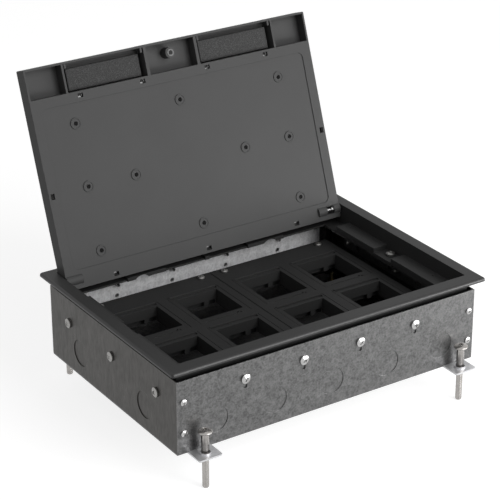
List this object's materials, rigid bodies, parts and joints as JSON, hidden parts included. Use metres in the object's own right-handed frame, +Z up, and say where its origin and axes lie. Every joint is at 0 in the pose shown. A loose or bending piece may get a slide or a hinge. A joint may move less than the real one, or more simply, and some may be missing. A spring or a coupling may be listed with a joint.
{
  "type": "floor socket box",
  "caption": "Rectangular underfloor socket box with a hinged tray lid, trim frame, snap-in module openings and levelling screws.",
  "frame": {"origin": "centre of the underside of the galvanised box", "axes": "+X along the long side, to the right seen from the front; +Y towards the hinge side; +Z up"},
  "size_m": [0.33, 0.2972, 0.293],
  "materials": {
    "galvanised_steel": "galvanised, mottled, satin",
    "zinc_plated_steel": "zinc plated, bright",
    "brass_plating": "plain turned",
    "trim_plastic": "fine moulded grain",
    "plate_plastic": "fine moulded grain",
    "lid_plastic": "fine moulded grain",
    "foam": "open cell foam",
    "stiffener_steel": "galvanised, mottled, satin",
    "pin_steel": "ground, bright",
    "black_oxide_steel": "blackened",
    "spring_steel": "drawn wire"
  },
  "bodies": {
    "root": {"box_tray": "galvanised_steel", "end_panel_left": "galvanised_steel", "end_panel_right": "galvanised_steel", "side_bracket_left": "galvanised_steel", "side_bracket_right": "galvanised_steel", "mounting_rail_front": "galvanised_steel", "mounting_rail_back": "galvanised_steel", "levelling_lugs": "galvanised_steel", "corner_screws": "zinc_plated_steel", "frame_fixing_screws": "black_oxide_steel", "side_bracket_screws": "zinc_plated_steel", "rail_screws": "zinc_plated_steel", "plate_screws": "zinc_plated_steel", "earth_stud": "brass_plating", "earth_nuts": "brass_plating", "trim_frame": "trim_plastic", "accessory_plate_left": "plate_plastic", "accessory_plate_right": "plate_plastic", "module_frame_1": "plate_plastic", "module_frame_2": "plate_plastic", "module_frame_3": "plate_plastic", "module_frame_4": "plate_plastic", "module_frame_5": "plate_plastic", "module_frame_6": "plate_plastic", "module_frame_7": "plate_plastic", "module_frame_8": "plate_plastic"},
    "hinge_carrier": {"hinge_pin_left": "pin_steel"},
    "lid": {"lid_shell": "lid_plastic", "lid_stiffener_plate": "stiffener_steel", "lid_plate_screws": "black_oxide_steel", "hinge_pin_spring": "spring_steel"},
    "release_pin": {"hinge_pin_right": "pin_steel"},
    "flap_left": {"cable_flap_left": "lid_plastic", "cable_seal_left": "foam"},
    "flap_right": {"cable_flap_right": "lid_plastic", "cable_seal_right": "foam"},
    "lid_lock": {"lid_lock_barrel": "zinc_plated_steel", "lid_lock_washer": "zinc_plated_steel"},
    "foot_front_left": {"levelling_screw_front_left": "zinc_plated_steel"},
    "foot_front_right": {"levelling_screw_front_right": "zinc_plated_steel"},
    "foot_back_left": {"levelling_screw_back_left": "zinc_plated_steel"},
    "foot_back_right": {"levelling_screw_back_right": "zinc_plated_steel"}
  },
  "joints": [
    {"name": "lid_lift", "type": "slide", "parent": "root", "child": "hinge_carrier", "axis": [0, 0, 1], "range_m": [-0.0078, 0]},
    {"name": "lid_hinge", "type": "hinge", "parent": "hinge_carrier", "child": "lid", "pos_m": [0, 0.0919, 0.0783], "axis": [1, 0, 0], "range_deg": [0, 109.65]},
    {"name": "flap_left_hinge", "type": "hinge", "parent": "lid", "child": "flap_left", "pos_m": [-0.07, 0.15827, 0.23235], "axis": [-1, 0, 0], "range_deg": [0, 90]},
    {"name": "flap_right_hinge", "type": "hinge", "parent": "lid", "child": "flap_right", "pos_m": [0.07, 0.15827, 0.23235], "axis": [-1, 0, 0], "range_deg": [0, 90]},
    {"name": "lock_turn", "type": "hinge", "parent": "lid", "child": "lid_lock", "pos_m": [0, 0.15721, 0.24781], "axis": [0, 0.9418, -0.3363], "range_deg": [0, 90]},
    {"name": "pin_release", "type": "slide", "parent": "lid", "child": "release_pin", "axis": [1, 0, 0], "range_m": [-0.0035, 0], "stiffness_N_per_m": 400, "springref_m": 0.002, "deforming": ["hinge_pin_spring"]},
    {"name": "foot_front_left_turn", "type": "hinge", "parent": "root", "child": "foot_front_left", "pos_m": [-0.1365, -0.1195, 0], "axis": [0, 0, 1], "continuous": true},
    {"name": "foot_front_right_turn", "type": "hinge", "parent": "root", "child": "foot_front_right", "pos_m": [0.1365, -0.1195, 0], "axis": [0, 0, 1], "continuous": true},
    {"name": "foot_back_left_turn", "type": "hinge", "parent": "root", "child": "foot_back_left", "pos_m": [-0.1365, 0.1195, 0], "axis": [0, 0, 1], "continuous": true},
    {"name": "foot_back_right_turn", "type": "hinge", "parent": "root", "child": "foot_back_right", "pos_m": [0.1365, 0.1195, 0], "axis": [0, 0, 1], "continuous": true}
  ],
  "couplings": [
    {"joint": "lid_lift", "follows": "lid_hinge", "m_per_rad": -0.004075}
  ]
}
